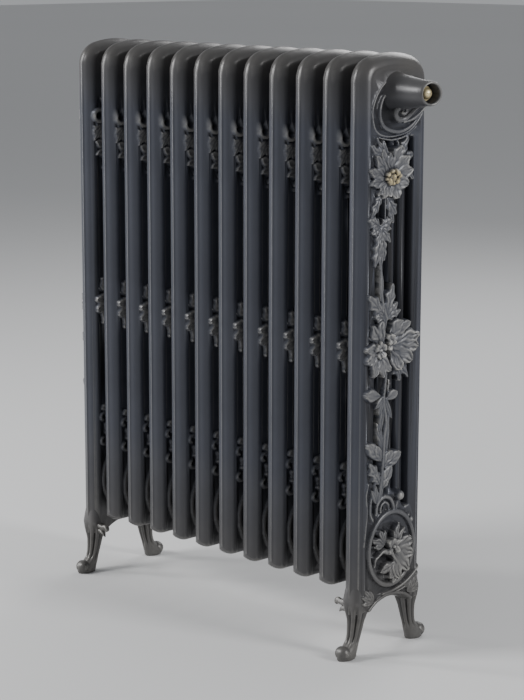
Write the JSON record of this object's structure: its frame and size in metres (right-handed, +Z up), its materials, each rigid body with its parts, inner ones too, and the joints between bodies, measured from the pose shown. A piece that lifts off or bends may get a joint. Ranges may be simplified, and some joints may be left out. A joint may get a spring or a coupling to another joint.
{
  "type": "cast iron column radiator",
  "caption": "Free-standing ornate cast iron column radiator on cabriole legs, with a hooded brass air vent at one end and pipe ports at the other.",
  "frame": {"origin": "on the floor under the middle of the whole object", "axes": "+X along the row of sections towards the vent hood, -Y the front, +Z up"},
  "size_m": [0.8305, 0.2131, 1.005],
  "materials": {
    "iron_paint": "satin dark blue-grey paint with the relief brushed lighter warm grey",
    "bare_iron": "machined, dull",
    "bushing_iron": "satin dark paint over wrought flats",
    "sealing": "matte graphited fibre",
    "vent_brass": "dull polished brass, lightly tarnished"
  },
  "bodies": {
    "radiator": {"section_01": "iron_paint", "section_02": "iron_paint", "section_03": "iron_paint", "section_04": "iron_paint", "section_05": "iron_paint", "section_06": "iron_paint", "section_07": "iron_paint", "section_08": "iron_paint", "section_09": "iron_paint", "section_10": "iron_paint", "section_11": "iron_paint", "section_12": "iron_paint", "top_nipple_01": "bare_iron", "top_nipple_02": "bare_iron", "top_nipple_03": "bare_iron", "top_nipple_04": "bare_iron", "top_nipple_05": "bare_iron", "top_nipple_06": "bare_iron", "top_nipple_07": "bare_iron", "top_nipple_08": "bare_iron", "top_nipple_09": "bare_iron", "top_nipple_10": "bare_iron", "top_nipple_11": "bare_iron", "bottom_nipple_01": "bare_iron", "bottom_nipple_02": "bare_iron", "bottom_nipple_03": "bare_iron", "bottom_nipple_04": "bare_iron", "bottom_nipple_05": "bare_iron", "bottom_nipple_06": "bare_iron", "bottom_nipple_07": "bare_iron", "bottom_nipple_08": "bare_iron", "bottom_nipple_09": "bare_iron", "bottom_nipple_10": "bare_iron", "bottom_nipple_11": "bare_iron", "top_gaskets": "sealing", "bottom_gaskets": "sealing", "flow_bushing": "bushing_iron", "return_bushing": "bushing_iron", "flow_bushing_gasket": "sealing", "return_bushing_gasket": "sealing", "vent_body": "vent_brass", "vent_washer": "sealing"},
    "jumper": {"vent_jumper": "sealing"},
    "screw": {"vent_screw": "vent_brass"}
  },
  "joints": [
    {"name": "vent_jumper_lift", "type": "slide", "parent": "radiator", "child": "jumper", "axis": [1, 0, 0], "range_m": [0, 0.0015]},
    {"name": "vent_screw_turn", "type": "hinge", "parent": "jumper", "child": "screw", "pos_m": [0.39487, 0, 0.943], "axis": [1, 0, 0], "range_deg": [0, 540]}
  ],
  "couplings": [
    {"joint": "vent_screw_turn", "follows": "vent_jumper_lift", "rad_per_m": 6283.1}
  ]
}
